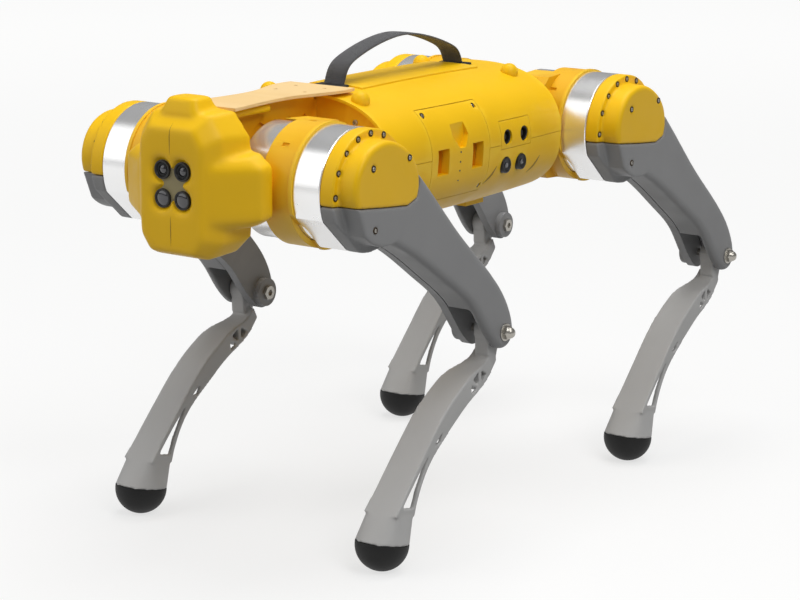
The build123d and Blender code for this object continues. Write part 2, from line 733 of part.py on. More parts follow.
def carrying_strap():
    """Webbing handle over the deck, a plain band in place of the woven strap."""
    crown = [(strap_x0 + 24, strap_top - 20), (strap_mid, strap_top), (strap_x1 - 24, strap_top - 18)]
    with BuildPart() as strap:
        with BuildSketch(Plane.XZ.offset(-strap_w / 2)):
            with BuildLine():
                outer = Spline((strap_x0, strap_z0), *crown, (strap_x1, strap_z0))
                Line(outer @ 1, (strap_x1 - strap_t, strap_z0))
                inner = Spline((strap_x1 - strap_t, strap_z0), (crown[2][0] - 1, crown[2][1] - strap_t),
                               (strap_mid, strap_top - strap_t), (crown[0][0] + 1, crown[0][1] - strap_t),
                               (strap_x0 + strap_t, strap_z0))
                Line(inner @ 1, outer @ 0)
            make_face()
        extrude(amount=strap_w)
    save(strap, "carrying_strap")


def head_section(x, half_w, top, bottom, chin_w, brow, jaw):
    """Eight-sided section of the head casing."""
    with BuildSketch(Plane(origin=(x, 0, 0), x_dir=(0, 1, 0), z_dir=(1, 0, 0))) as section:
        with BuildLine():
            Polyline((chin_w, top), (half_w, brow), (half_w, jaw), (chin_w, bottom),
                     (-chin_w, bottom), (-half_w, jaw), (-half_w, brow), (-chin_w, top), close=True)
        make_face()
    return section.sketch


def head_shell():
    """Faceted head casing with a roof towards the trunk, a cap and a four-lobed camera recess."""
    with BuildPart() as head:
        for stations in (head_column, head_cheeks):
            for rear, front in zip(stations[:-1], stations[1:]):
                loft([head_section(*rear), head_section(*front)], ruled=True)
        with Locations((head_rear + 13, 0, 372)):
            Box(28, 88, 94, mode=Mode.SUBTRACT)
        add(box_between(roof_rear, head_rear + 20, -roof_half, roof_half, roof_z, plate_z))
        with BuildSketch(Plane.XY.offset(head_top)):
            with Locations((cap_x, 0)):
                RectangleRounded(36, 46, 6)
        with BuildSketch(Plane.XY.offset(head_top + cap_rise)):
            with Locations((cap_x - 1, 0)):
                RectangleRounded(27, 35, 5)
        loft()
        with BuildSketch(Plane(origin=(head_front, 0, lens_z), x_dir=(0, 1, 0), z_dir=(1, 0, 0))):
            with Locations(*[(y, z) for y in (-lens_dy, lens_dy) for z in (-lens_dz, lens_dz)]):
                Circle(lobe_r)
            Rectangle(2 * lens_dy, 2 * lens_dz)
        extrude(amount=-lens_recess, mode=Mode.SUBTRACT)
    save(head, "head_shell")
    with BuildPart() as plate:
        floor = Plane(origin=(head_front - lens_recess, 0, lens_z), x_dir=(0, 1, 0), z_dir=(1, 0, 0))
        with BuildSketch(floor):
            with Locations(*[(y, z) for y in (-lens_dy, lens_dy) for z in (-lens_dz, lens_dz)]):
                Circle(lobe_r - 0.3)
            Rectangle(2 * lens_dy, 2 * lens_dz)
        extrude(amount=2)
    save(plate, "camera_plate")
    with BuildPart() as lenses:
        for y in (-lens_dy, lens_dy):
            for z in (lens_z - lens_dz, lens_z + lens_dz):
                with Locations((head_front - lens_recess + 3.2, y, z)):
                    Cylinder(lens_r, 2.4, rotation=(0, 90, 0))
    save(lenses, "camera_lenses")


def top_plate():
    """Flat mounting plate from the trunk's deck to the head, with its screw holes."""
    with BuildPart() as plate:
        with BuildSketch(Plane.XY.offset(plate_z)):
            with BuildLine():
                near = Spline((plate_x0, 40), (190, 40), (232, 28), (290, 28), (plate_x1, 34))
                Line(near @ 1, (plate_x1, -34))
                far = Spline((plate_x1, -34), (290, -28), (232, -28), (190, -40), (plate_x0, -40))
                Line(far @ 1, near @ 0)
            make_face()
            with Locations(*[(x, y) for x in (180, 212) for y in (-18, 18)]):
                Circle(plate_hole_r, mode=Mode.SUBTRACT)
        extrude(amount=plate_t)
    save(plate, "top_plate")


def flank_buttons():
    """Two round push buttons in the left flank."""
    for name, x in zip(("power_button", "motor_button"), button_xs):
        with BuildPart() as button:
            with Locations((x, 103, button_z)):
                Cylinder(button_r, 12, rotation=(90, 0, 0))
            chamfer(button.edges().filter_by(GeomType.CIRCLE).sort_by(Axis.Y)[-1], 0.8)
        save(button, name)


def belly_pads():
    """Two pads under the belly that the robot lies on."""
    with BuildPart() as pads:
        with Locations(*[(x, 0, pad_z + 10) for x in pad_xs]):
            Box(34, 40, 20)
        add(barrel(trunk_rear, trunk_front), mode=Mode.SUBTRACT)
    save(pads, "belly_pads")


if __name__ == "__main__":
    trunk_shells()
    side_panels()
    front_frame()
    rear_frame()
    abduction_motors()
    battery_pack()
    deck_cover()
    carrying_strap()
    head_shell()
    top_plate()
    flank_buttons()
    belly_pads()
    connector_panel()
    for end in ENDS:
        for side in SIDES:
            leg = Leg(end, side)
            hip_bracket(leg)
            hip_motors(leg)
            thigh_cover(leg)
            thigh_shell(leg)
            thigh_inner(leg)
            thigh_fasteners(leg)
            knee_crank(leg)
            knee_rod(leg)
            calf(leg)
            foot(leg)
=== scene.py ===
import json
import math

import bmesh
import bpy
from mathutils import Matrix, Vector
from mathutils.bvhtree import BVHTree


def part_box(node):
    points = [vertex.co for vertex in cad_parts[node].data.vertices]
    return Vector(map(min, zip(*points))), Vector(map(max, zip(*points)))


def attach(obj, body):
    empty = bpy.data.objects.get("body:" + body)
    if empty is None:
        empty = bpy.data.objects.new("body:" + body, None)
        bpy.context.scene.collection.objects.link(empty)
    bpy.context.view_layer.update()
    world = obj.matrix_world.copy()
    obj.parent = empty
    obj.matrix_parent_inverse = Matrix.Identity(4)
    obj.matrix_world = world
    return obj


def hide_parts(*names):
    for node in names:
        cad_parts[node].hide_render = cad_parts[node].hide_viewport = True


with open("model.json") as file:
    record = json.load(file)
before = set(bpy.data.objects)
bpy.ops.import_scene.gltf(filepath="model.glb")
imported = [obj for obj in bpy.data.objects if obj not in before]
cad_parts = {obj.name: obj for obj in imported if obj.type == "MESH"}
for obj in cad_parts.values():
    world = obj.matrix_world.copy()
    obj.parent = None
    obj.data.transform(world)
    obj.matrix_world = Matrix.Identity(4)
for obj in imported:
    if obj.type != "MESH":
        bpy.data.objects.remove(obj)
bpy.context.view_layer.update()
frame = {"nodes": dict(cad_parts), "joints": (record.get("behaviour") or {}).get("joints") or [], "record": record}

LEGS = ("front_left", "front_right", "rear_left", "rear_right")
FLOOR_HALF, FLOOR_COLOUR, NEAR_GLOW, FAR_GLOW = 30, (0.27, 0.27, 0.27), 0.69, 0.87
HIP_Z = 0.373
FLANGE_RADIUS, FLANGE_ANGLES, FLANGE_Y = 0.0542, (1, 25, 47, 69, 90, 112), 0.149
FACE_SCREWS, FACE_Y = ((0.024, 0.026), (-0.033, 0.029), (0.021, -0.032)), 0.170
KNEE_OUTER_Y, KNEE_INNER_Y = 0.179, 0.124
PANEL_SCREWS = ((0.027, 0.418), (0.116, 0.418), (0.027, 0.337), (0.116, 0.337))
BULKHEAD_SCREWS = ((0.060, 0.044), (-0.060, 0.044), (0.084, 0.012),
                   (-0.084, 0.012), (0.060, -0.044), (-0.060, -0.044))
SHELL_HALF_W, SHELL_HALF_H, SHELL_POWER = 0.109, 0.072, 2.4
PANEL_SCREW_SUNK, SCREW_SUNK = 0.0018, 0.0010
SOCKET_XS, SOCKET_Z = (-0.014, -0.046), 0.382
HEAD_SEAMS, HEAD_SEAM_HALF_WIDTH = ((0.407, 0.436), (0.349, 0.321)), 0.0005
SEAM_STEPS = 14
AHEAD, BESIDE = 0.5, 0.2
KEEPER_Z = 0.4432
KEEPER_HALF, KEEPER_SLOT_HALF = (0.006, 0.017), (0.0022, 0.0135)
KEEPER_T, KEEPER_EDGE = 0.0024, 0.0018
CASTING_VOXEL, HEAD_VOXEL, HEAD_ROUNDS = 0.0013, 0.002, 34
CAMERA_AT = (2.1073, 1.4869, 0.7864)
CAMERA_AZIMUTH, CAMERA_HEIGHT, CAMERA_ROLL, CAMERA_LENS = 35.53, 12.87, 0.27, 111.3
GROOVE_XS, GROOVE_LOW, GROOVE_HIGH = (0.012, -0.073), 0.337, 0.354
GROOVE_SLANT, GROOVE_HALF_WIDTH = 0.008, 0.0019
VENT_X, VENT_ZS = 0.073, (0.378, 0.368, 0.359, 0.349)
# WINDOW_SCALE stretches a square tray of 20 mm along x and z
WINDOW_XS, WINDOW_Z, WINDOW_SCALE, TRAY_Y = (0.042, 0.102), 0.371, (0.95, 1.3), 0.099


# ---- materials -------------------------------------------------------------

def new_material(name):
    """Empty node material with its Principled shader."""
    material = bpy.data.materials.new(name)
    material.use_nodes = True
    return material, material.node_tree, material.node_tree.nodes["Principled BSDF"]


def noise(tree, scale, detail=4.0):
    """Noise over the object's own coordinates."""
    coords = tree.nodes.new("ShaderNodeTexCoord")
    texture = tree.nodes.new("ShaderNodeTexNoise")
    texture.inputs["Scale"].default_value = scale
    texture.inputs["Detail"].default_value = detail
    tree.links.new(coords.outputs["Object"], texture.inputs["Vector"])
    return texture.outputs["Fac"]


def spread(tree, value, low, high):
    """A 0 to 1 value spread between two numbers."""
    node = tree.nodes.new("ShaderNodeMapRange")
    node.inputs["To Min"].default_value = low
    node.inputs["To Max"].default_value = high
    node.inputs["From Min"].default_value = 0.3
    node.inputs["From Max"].default_value = 0.7
    tree.links.new(value, node.inputs["Value"])
    return node.outputs["Result"]


def mixed(tree, factor, first, second):
    """Mix of two colours; each is a tuple or a socket."""
    node = tree.nodes.new("ShaderNodeMix")
    node.data_type = "RGBA"
    tree.links.new(factor, node.inputs["Factor"])
    for socket, colour in ((node.inputs["A"], first), (node.inputs["B"], second)):
        if isinstance(colour, tuple):
            socket.default_value = (*colour, 1.0)
        else:
            tree.links.new(colour, socket)
    return node.outputs["Result"]


def bump(tree, shader, height, distance, strength=0.4, edge=0.0006):
    """Fine relief over slightly rounded edges."""
    rounded = tree.nodes.new("ShaderNodeBevel")
    rounded.samples = 4
    rounded.inputs["Radius"].default_value = edge
    node = tree.nodes.new("ShaderNodeBump")
    node.inputs["Strength"].default_value = strength
    node.inputs["Distance"].default_value = distance
    tree.links.new(height, node.inputs["Height"])
    tree.links.new(rounded.outputs["Normal"], node.inputs["Normal"])
    tree.links.new(node.outputs["Normal"], shader.inputs["Normal"])


def edge_factor(tree, low=0.52, high=0.6):
    """How sharply the surface turns outwards, for wear along edges."""
    geometry = tree.nodes.new("ShaderNodeNewGeometry")
    node = tree.nodes.new("ShaderNodeMapRange")
    node.inputs["From Min"].default_value = low
    node.inputs["From Max"].default_value = high
    node.inputs["To Max"].default_value = 0.5
    tree.links.new(geometry.outputs["Pointiness"], node.inputs["Value"])
    return node.outputs["Result"]


def moulded(name, colour, worn, roughness=0.42, grain=2600.0, depth=0.00006, edge=0.0008, shine=0.35):
    """Moulded plastic or paint: faint colour drift, fine grain, paler worn edges."""
    material, tree, shader = new_material(name)
    drift = spread(tree, noise(tree, 9.0), 0.0, 1.0)
    dark = tuple(c * 0.93 for c in colour)
    base = mixed(tree, drift, dark, colour)
    tree.links.new(mixed(tree, edge_factor(tree), base, worn), shader.inputs["Base Color"])
    smudges = spread(tree, noise(tree, 38.0, 6.0), roughness - 0.05, roughness + 0.07)
    tree.links.new(smudges, shader.inputs["Roughness"])
    shader.inputs["Specular IOR Level"].default_value = shine
    bump(tree, shader, noise(tree, grain, 2.0), depth, edge=edge)
    return material


def turned_metal(name, colour, roughness=0.34):
    """Smooth satin metal with a faint turned sheen around the Y axis."""
    material, tree, shader = new_material(name)
    coords = tree.nodes.new("ShaderNodeTexCoord")
    stretch = tree.nodes.new("ShaderNodeMapping")
    stretch.inputs["Scale"].default_value = (3.0, 420.0, 3.0)
    texture = tree.nodes.new("ShaderNodeTexNoise")
    texture.inputs["Scale"].default_value = 1.0
    tree.links.new(coords.outputs["Object"], stretch.inputs["Vector"])
    tree.links.new(stretch.outputs["Vector"], texture.inputs["Vector"])
    dark = tuple(c * 0.965 for c in colour)
    tree.links.new(mixed(tree, texture.outputs["Fac"], dark, colour), shader.inputs["Base Color"])
    smudges = spread(tree, noise(tree, 30.0, 5.0), roughness - 0.02, roughness + 0.03)
    tree.links.new(smudges, shader.inputs["Roughness"])
    shader.inputs["Metallic"].default_value = 0.85
    bump(tree, shader, texture.outputs["Fac"], 0.000004, 0.1)
    return material


def webbing(name, colour):
    """Woven webbing: ribs along the band crossed by fine threads."""
    material, tree, shader = new_material(name)
    coords = tree.nodes.new("ShaderNodeTexCoord")
    heights = []
    for direction, scale in (("Y", 330.0), ("X", 520.0)):
        wave = tree.nodes.new("ShaderNodeTexWave")
        wave.bands_direction = direction
        wave.inputs["Scale"].default_value = scale
        wave.inputs["Distortion"].default_value = 0.6
        tree.links.new(coords.outputs["Object"], wave.inputs["Vector"])
        heights.append(wave.outputs["Fac"])
    weave = tree.nodes.new("ShaderNodeMath")
    weave.operation = "MAXIMUM"
    tree.links.new(heights[0], weave.inputs[0])
    tree.links.new(heights[1], weave.inputs[1])
    dark = tuple(c * 0.45 for c in colour)
    tree.links.new(mixed(tree, weave.outputs["Value"], dark, colour), shader.inputs["Base Color"])
    tree.links.new(spread(tree, noise(tree, 300.0), 0.7, 0.95), shader.inputs["Roughness"])
    shader.inputs["Sheen Weight"].default_value = 0.35
    bump(tree, shader, weave.outputs["Value"], 0.0003, 0.8)
    return material


def lens_glass(name):
    """Dark coated glass."""
    material, tree, shader = new_material(name)
    tint = spread(tree, noise(tree, 60.0), 0.0, 1.0)
    tree.links.new(mixed(tree, tint, (0.006, 0.006, 0.01), (0.012, 0.01, 0.02)), shader.inputs["Base Color"])
    tree.links.new(spread(tree, noise(tree, 90.0), 0.04, 0.09), shader.inputs["Roughness"])
    shader.inputs["Coat Weight"].default_value = 1.0
    shader.inputs["Coat Roughness"].default_value = 0.03
    return material


def make_materials():
    """One material for each slot of the record, and the few finishes shared within a slot."""
    yellow_edge = (1.0, 0.66, 0.03)
    return {
        "yellow_shell": moulded("yellow_shell", (0.95, 0.56, 0.003), yellow_edge, 0.44, shine=0.22),
        "orange_frame": moulded("orange_frame", (0.86, 0.40, 0.004), yellow_edge, 0.5, shine=0.25),
        "orange_bracket": moulded("orange_bracket", (0.91, 0.49, 0.006), yellow_edge, 0.42, 900.0),
        "motor_metal": turned_metal("motor_metal", (0.93, 0.93, 0.93), 0.25),
        "grey_thigh": moulded("grey_thigh", (0.27, 0.27, 0.272), (0.34, 0.34, 0.345), 0.5, 1500.0, 0.0001),
        "grey_calf": moulded("grey_calf", (0.50, 0.496, 0.487), (0.58, 0.575, 0.565), 0.52, 1500.0, 0.0001),
        "foot_rubber": moulded("foot_rubber", (0.006, 0.006, 0.006), (0.02, 0.02, 0.02), 0.6, 700.0, 0.0002),
        "dark_plastic": moulded("dark_plastic", (0.012, 0.012, 0.012), (0.04, 0.04, 0.04), 0.45),
        # painted shade: dark brown for the discs that stand for the shadow inside the screw holes
        "screw_painted_shade": moulded("screw_painted_shade", (0.035, 0.018, 0.004), (0.09, 0.05, 0.01), 0.5),
        "board": moulded("board", (0.01, 0.08, 0.03), (0.1, 0.2, 0.1), 0.4),
        "screws": turned_metal("screws", (0.42, 0.40, 0.36), 0.3),
        "steel_linkage": turned_metal("steel_linkage", (0.55, 0.55, 0.56), 0.36),
        "strap_webbing": webbing("strap_webbing", (0.035, 0.035, 0.04)),
        "beige_plastic": moulded("beige_plastic", (0.30, 0.25, 0.12), (0.42, 0.36, 0.2), 0.55),
        "plate_paint": moulded("plate_paint", (0.86, 0.58, 0.24), (0.95, 0.7, 0.36), 0.5),
        "camera_glass": lens_glass("camera_glass"),
        "seam_shadow": moulded("seam_shadow", (0.30, 0.15, 0.002), (0.5, 0.3, 0.02), 0.6),
        "button_plastic": moulded("button_plastic", (0.006, 0.006, 0.006), (0.03, 0.03, 0.03), 0.4),
    }


def finish_nodes(materials):
    """Gives every CAD node the material of its slot; the top plate has its own paint."""
    for row in frame["record"]["subparts"]:
        node = frame["nodes"][row["node"]]
        name = "plate_paint" if row["node"] == "top_plate" else row["material_slot"]
        node.data.materials.clear()
        node.data.materials.append(materials[name])


# ---- stage -----------------------------------------------------------------

def add_camera():
    """Camera at the viewing angle: a little above, ahead and to the robot's left."""
    azimuth, height, roll = (math.radians(a) for a in (CAMERA_AZIMUTH, CAMERA_HEIGHT, CAMERA_ROLL))
    level = Vector((math.cos(azimuth), math.sin(azimuth), 0))
    back = level * math.cos(height) + Vector((0, 0, math.sin(height)))
    across = Vector((0, 0, 1)).cross(back).normalized()
    upward = back.cross(across)
    right = across * math.cos(roll) + upward * math.sin(roll)
    top = upward * math.cos(roll) - across * math.sin(roll)
    data = bpy.data.cameras.new("camera")
    data.lens = CAMERA_LENS
    data.sensor_width = 36.0
    camera = bpy.data.objects.new("camera", data)
    turn = Matrix((right, top, back)).transposed().to_4x4()
    camera.matrix_world = Matrix.Translation(CAMERA_AT) @ turn
    bpy.context.scene.collection.objects.link(camera)
    bpy.context.scene.camera = camera


def add_floor():
    """Large pale floor that glows a little more far away, so near and far look equally bright."""
    material, tree, shader = new_material("pale_floor")
    tone = spread(tree, noise(tree, 1.5), 0.0, 1.0)
    duller = tuple(c * 0.985 for c in FLOOR_COLOUR)
    tree.links.new(mixed(tree, tone, FLOOR_COLOUR, duller), shader.inputs["Base Color"])
    shader.inputs["Roughness"].default_value = 0.9
    shader.inputs["Specular IOR Level"].default_value = 0.1
    shader.inputs["Emission Color"].default_value = (1.0, 1.0, 0.995, 1.0)
    coords = tree.nodes.new("ShaderNodeTexCoord")
    distance = tree.nodes.new("ShaderNodeVectorMath")
    distance.operation = "LENGTH"
    glow = tree.nodes.new("ShaderNodeMapRange")
    glow.interpolation_type = "SMOOTHSTEP"
    for socket, value in (("From Min", 0.3), ("From Max", 4.5), ("To Min", NEAR_GLOW), ("To Max", FAR_GLOW)):
        glow.inputs[socket].default_value = value
    tree.links.new(coords.outputs["Object"], distance.inputs[0])
    tree.links.new(distance.outputs["Value"], glow.inputs["Value"])
    tree.links.new(glow.outputs["Result"], shader.inputs["Emission Strength"])
    mesh = bpy.data.meshes.new("floor")
    shape = bmesh.new()
    corners = ((-1, -1), (1, -1), (1, 1), (-1, 1))
    shape.faces.new([shape.verts.new((x * FLOOR_HALF, y * FLOOR_HALF, 0)) for x, y in corners])
    shape.to_mesh(mesh)
    shape.free()
    mesh.materials.append(material)
    floor = bpy.data.objects.new("floor", mesh)
    floor.visible_diffuse = False
    bpy.context.scene.collection.objects.link(floor)


def add_light(name, position, target, size, power):
    """Square soft light aimed at a point."""
    data = bpy.data.lights.new(name, "AREA")
    data.size = size
    data.energy = power
    light = bpy.data.objects.new(name, data)
    light.location = position
    light.rotation_euler = (Vector(target) - Vector(position)).to_track_quat("-Z", "Y").to_euler()
    bpy.context.scene.collection.objects.link(light)


def add_studio():
    """Soft light from above and both sides, with a bright plain surround."""
    add_light("key", (0.9, 2.2, 2.6), (0, 0, 0.25), 1.6, 40)
    add_light("fill", (2.4, -2.0, 2.0), (0, 0, 0.25), 3.2, 36)
    add_light("top", (-0.4, 0.0, 3.0), (0, 0, 0.2), 2.0, 52)
    world = bpy.data.worlds.new("surround")
    world.use_nodes = True
    background = world.node_tree.nodes["Background"]
    background.inputs["Color"].default_value = (0.95, 0.955, 0.96, 1.0)
    background.inputs["Strength"].default_value = 0.26
    bpy.context.scene.world = world


# ---- pieces ----------------------------------------------------------------

def finish_piece(name, shape, material, body, smooth=True):
    """Turns a bmesh into a shown piece that rides on a body."""
    bmesh.ops.recalc_face_normals(shape, faces=shape.faces)
    mesh = bpy.data.meshes.new(name)
    shape.to_mesh(mesh)
    shape.free()
    mesh.materials.append(material)
    piece = bpy.data.objects.new(name, mesh)
    bpy.context.scene.collection.objects.link(piece)
    if smooth:
        mesh.shade_smooth()
        mesh.set_sharp_from_angle(angle=math.radians(32))
    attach(piece, body)
    return piece


def place(position, direction):
    """Matrix that puts local +Z along a direction at a position."""
    turn = Vector((0, 0, 1)).rotation_difference(Vector(direction))
    return Matrix.Translation(position) @ turn.to_matrix().to_4x4()


def ring_point(radius, angle, sides):
    """Point of a round (sides 0) or many-sided ring."""
    if sides:
        wedge = 2 * math.pi / sides
        radius *= math.cos(wedge / 2) / math.cos(angle % wedge - wedge / 2)
    return radius * math.cos(angle), radius * math.sin(angle)


def turned(shape, matrix, profile, segments=36):
    """Closed turned form: profile rows are radius, height, number of sides, all in millimetres."""
    rings = []
    for radius, height, sides in profile:
        points = [ring_point(radius, 2 * math.pi * i / segments, sides) for i in range(segments)]
        rings.append([shape.verts.new(matrix @ (Vector((x, y, height)) / 1000)) for x, y in points])
    for low, high in zip(rings[:-1], rings[1:]):
        for i in range(segments):
            k = (i + 1) % segments
            shape.faces.new((low[i], low[k], high[k], high[i]))
    shape.faces.new(list(reversed(rings[0])))
    shape.faces.new(rings[-1])


def socket_screw(shape, matrix, radius, height=1.6):
    """Button head with a hexagon socket."""
    turned(shape, matrix, ((radius * 0.6, -4, 0), (radius * 0.9, -3.8, 0), (radius, -0.2, 0),
                           (radius, height * 0.45, 0), (radius * 0.86, height * 0.85, 0),
                           (radius * 0.66, height, 0), (radius * 0.55, height, 6),
                           (radius * 0.5, height - 0.25, 6), (radius * 0.48, height - 1.5, 6)))


def recessed_screw(shape, painted_shades, position, direction, radius=2.0):
    """Socket screw a little below a surface, ringed by a dark disc of painted shade that stands for the shadow in
    its hole.
    """
    matrix = place(position, direction)
    socket_screw(shape, matrix @ Matrix.Translation((0, 0, -SCREW_SUNK)), radius)
    # dark ring of painted shade, slightly proud of the surface, where the hole's shadow falls
    painted_shade = ((3.2, -4, 0), (3.2, 0.1, 0), (2.9, 0.18, 0), (2.5, 0.1, 0), (2.3, -1.5, 0))
    turned(painted_shades, matrix, painted_shade, 24)


def hip_and_knee():
    """Axis points of each leg's hip and knee."""
    found = {joint["name"]: Vector(joint["pos_m"]) for joint in frame["joints"] if "pos_m" in joint}
    return {leg: (found[leg + "_thigh_swing"], found[leg + "_knee"]) for leg in LEGS}


def add_leg_fasteners(materials):
    """Cover screws and knee bolts, in place of the plain ones."""
    for leg, (hip, knee) in hip_and_knee().items():
        side = 1 if hip.y > 0 else -1
        outward = (0, side, 0)
        shape, painted_shades = bmesh.new(), bmesh.new()
        for angle in FLANGE_ANGLES:
            x, z = ring_point(FLANGE_RADIUS, math.radians(angle), 0)
            recessed_screw(shape, painted_shades, (hip.x + x, side * FLANGE_Y, hip.z + z), outward)
        for x, z in FACE_SCREWS:
            recessed_screw(shape, painted_shades, (hip.x + x, side * FACE_Y, hip.z + z), outward)
        outer = place((knee.x, side * KNEE_OUTER_Y, knee.z), outward)
        turned(shape, outer, ((9, 0, 0), (9, 1.0, 0), (8.6, 1.2, 0), (7.3, 1.2, 6), (7.3, 4.6, 6),
                              (6.6, 5.2, 0), (5.9, 5.8, 0), (5.2, 8.0, 0), (3.8, 9.7, 0),
                              (1.8, 10.6, 0), (0.4, 10.8, 0)))
        inner = place((knee.x, side * KNEE_INNER_Y, knee.z), (0, -side, 0))
        turned(shape, inner, ((3.9, -50, 0), (4, 0, 0), (8, 0, 6), (8, 3.4, 6), (7.2, 3.9, 0),
                              (3.6, 3.9, 6), (3.4, 1.6, 6)))
        piece = finish_piece(f"fasteners_{leg}", shape, materials["screws"], leg + "_thigh")
        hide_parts(leg + "_thigh_fasteners")
        # rings of painted shade around the cover screws
        finish_piece(f"screw_painted_shades_{leg}", painted_shades, materials["screw_painted_shade"], leg + "_thigh")


def flank_reach(z):
    """Distance of the flank from the middle plane at a height."""
    rise = abs(z - HIP_Z) / SHELL_HALF_H
    return SHELL_HALF_W * (1 - rise ** SHELL_POWER) ** (1 / SHELL_POWER)


def add_trunk_screws(materials):
    """Socket screws of the flank panels and the front bulkhead."""
    shape, painted_shades = bmesh.new(), bmesh.new()
    for side in (1, -1):
        for x, z in PANEL_SCREWS:
            tilt = Vector((0, side, (z - HIP_Z) * 9))
            position = (x, side * (flank_reach(z) - PANEL_SCREW_SUNK), z)
            recessed_screw(shape, painted_shades, position, tilt.normalized())
    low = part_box("front_frame")[0]
    for y, dz in BULKHEAD_SCREWS:
        socket_screw(shape, place((low.x + 0.0045, y, HIP_Z + dz), (1, 0, 0)), 2.8)
    piece = finish_piece("screws_trunk", shape, materials["screws"], "trunk")
    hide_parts("trunk_screws")
    # rings of painted shade around the panel screws
    finish_piece("screw_painted_shades_trunk", painted_shades, materials["screw_painted_shade"], "trunk")


def smooth_line(points, steps):
    """Smooth line through points."""
    ends = [points[0] * 2 - points[1]] + points + [points[-1] * 2 - points[-2]]
    line = []
    for a, b, c, d in zip(ends[:-3], ends[1:-2], ends[2:-1], ends[3:]):
        for i in range(steps):
            t = i / steps
            square, cube = 2 * a - 5 * b + 4 * c - d, 3 * b - a - 3 * c + d
            line.append(0.5 * (2 * b + (c - a) * t + square * t * t + cube * t ** 3))
    return line + [points[-1]]


def add_strap(materials):
    """Woven carrying strap with rolled edges, bent into its arch."""
    low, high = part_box("carrying_strap")
    half, thick = (high.y - low.y) / 2, 0.0021
    mid, top = (low.x + high.x) / 2, high.z - 0.0004
    bends = ((low.x + 0.0015, low.z), (low.x + 0.024, top - 0.020), (mid, top),
             (high.x - 0.024, top - 0.018), (high.x - 0.0015, low.z))
    line = smooth_line([Vector((x, 0, z)) for x, z in bends], 14)
    across = [-1, -0.97, -0.88, -0.5, 0, 0.5, 0.88, 0.97, 1]
    heights = [0.25, 0.75, 1, 0.86, 0.84, 0.86, 1, 0.75, 0.25]
    shape = bmesh.new()
    rows = []
    for i, point in enumerate(line):
        ahead = (line[min(i + 1, len(line) - 1)] - line[max(i - 1, 0)]).normalized()
        upward = Vector((-ahead.z, 0, ahead.x))
        centre = point - upward * thick / 2
        sag = 0.0006 * math.sin(math.pi * i / (len(line) - 1))
        upper, lower = ([centre + Vector((0, c * half, 0)) + upward * (way * h * thick / 2 - sag * c * c)
                         for c, h in zip(across, heights)] for way in (1, -1))
        rows.append([shape.verts.new(p) for p in upper + lower[::-1]])
    for first, second in zip(rows[:-1], rows[1:]):
        for i in range(len(first)):
            k = (i + 1) % len(first)
            shape.faces.new((first[i], first[k], second[k], second[i]))
    shape.faces.new(rows[0][::-1])
    shape.faces.new(rows[-1])
    piece = finish_piece("strap_band", shape, materials["strap_webbing"], "trunk")
    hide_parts("carrying_strap")


def add_strap_feet(materials):
    """Slotted keeper over each end of the strap."""
    low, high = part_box("carrying_strap")
    corners = ((-1, -1), (1, -1), (1, 1), (-1, 1))
    levels = ((KEEPER_HALF, 1.0, 0.0), (KEEPER_HALF, 1.0, KEEPER_EDGE), (KEEPER_HALF, 0.94, KEEPER_T),
              (KEEPER_SLOT_HALF, 1.0, KEEPER_T), (KEEPER_SLOT_HALF, 1.0, 0.0))
    for name, x in (("rear", low.x + 0.0015), ("front", high.x - 0.0015)):
        shape = bmesh.new()
        rings = []
        for (half_x, half_y), grow, height in levels:
            rings.append([shape.verts.new((x + dx * half_x * grow, dy * half_y * grow, KEEPER_Z + height))
                          for dx, dy in corners])
        for first, second in zip(rings, rings[1:] + rings[:1]):
            for i in range(4):
                k = (i + 1) % 4
                shape.faces.new((first[i], first[k], second[k], second[i]))
        finish_piece(f"strap_keeper_{name}", shape, materials["dark_plastic"], "trunk",
                     smooth=False)


def soften(name, node, material, body, voxel, rounds):
    """Copy of a CAD node's mesh with its edges rounded, in place of the node."""
    source = frame["nodes"][node]
    mesh = source.data.copy()
    mesh.materials.clear()
    mesh.materials.append(material)
    piece = bpy.data.objects.new(name, mesh)
    bpy.context.scene.collection.objects.link(piece)
    weld = piece.modifiers.new("weld", "WELD")
    weld.merge_threshold = 0.00005
    grid = piece.modifiers.new("grid", "REMESH")
    grid.mode = "VOXEL"
    grid.voxel_size = voxel
    grid.use_smooth_shade = True
    relax = piece.modifiers.new("relax", "SMOOTH")
    relax.factor = 0.5
    relax.iterations = rounds
    depsgraph = bpy.context.evaluated_depsgraph_get()
    final = bpy.data.meshes.new_from_object(piece.evaluated_get(depsgraph))
    piece.modifiers.clear()
    piece.data = final
    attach(piece, body)
    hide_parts(node)
    return piece


def add_leg_castings(materials):
    """Covers, thighs and calves with their edges softly rounded."""
    castings = (("thigh_cover", "yellow_shell", "thigh", 6), ("thigh_shell", "grey_thigh", "thigh", 8),
                ("calf", "grey_calf", "calf", 2))
    for leg in LEGS:
        for node, slot, body, rounds in castings:
            soften(f"{leg}_{node}_casting", f"{leg}_{node}", materials[slot], f"{leg}_{body}",
                   CASTING_VOXEL, rounds)


def surface_tree(piece):
    """Search tree of a piece's surface."""
    mesh = piece.data
    return BVHTree.FromPolygons([v.co for v in mesh.vertices], [p.vertices for p in mesh.polygons])


def surface_seam(shape, tree, start, end, inward, half):
    """Thin pointed mark that lies on a surface between two points seen along a direction."""
    across = (end - start).cross(inward).normalized()
    rows = []
    for i in range(SEAM_STEPS + 1):
        hit = tree.ray_cast(start + (end - start) * i / SEAM_STEPS, inward)[0]
        width = half * math.sin(math.pi * (i + 0.6) / (SEAM_STEPS + 1.2))
        rows.append([shape.verts.new(hit + across * step - inward * lift) for step, lift in
                     ((-width, 0.0001), (0, 0.00016), (width, 0.0001), (0, -0.001))])
    for first, second in zip(rows[:-1], rows[1:]):
        for k in range(4):
            shape.faces.new((first[k], first[(k + 1) % 4], second[(k + 1) % 4], second[k]))
    shape.faces.new(rows[0][::-1])
    shape.faces.new(rows[-1])


